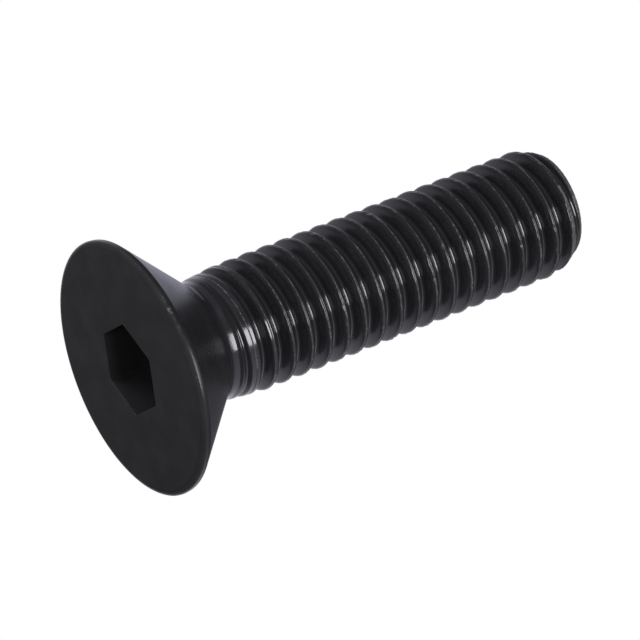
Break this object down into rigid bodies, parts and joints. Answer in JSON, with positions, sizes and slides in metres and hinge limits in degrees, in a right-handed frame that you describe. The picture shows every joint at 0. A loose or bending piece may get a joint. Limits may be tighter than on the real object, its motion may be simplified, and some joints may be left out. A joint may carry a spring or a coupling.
{
  "type": "countersunk socket screw",
  "caption": "Countersunk machine screw with a hexagon socket in its flat head, threaded up to the head, in blackened steel.",
  "frame": {"origin": "centre of the head's flat face, on which the screw stands", "axes": "+Z along the screw's axis from the head's flat face to the tip of the thread, +X through a corner of the hexagon socket"},
  "size_m": [0.0154, 0.0154, 0.0298],
  "materials": {
    "black_oxide_steel": "black oxide, lightly oiled, satin, with a faint blue cast and worn thread crests"
  },
  "bodies": {
    "root": {"screw": "black_oxide_steel"}
  },
  "joints": []
}
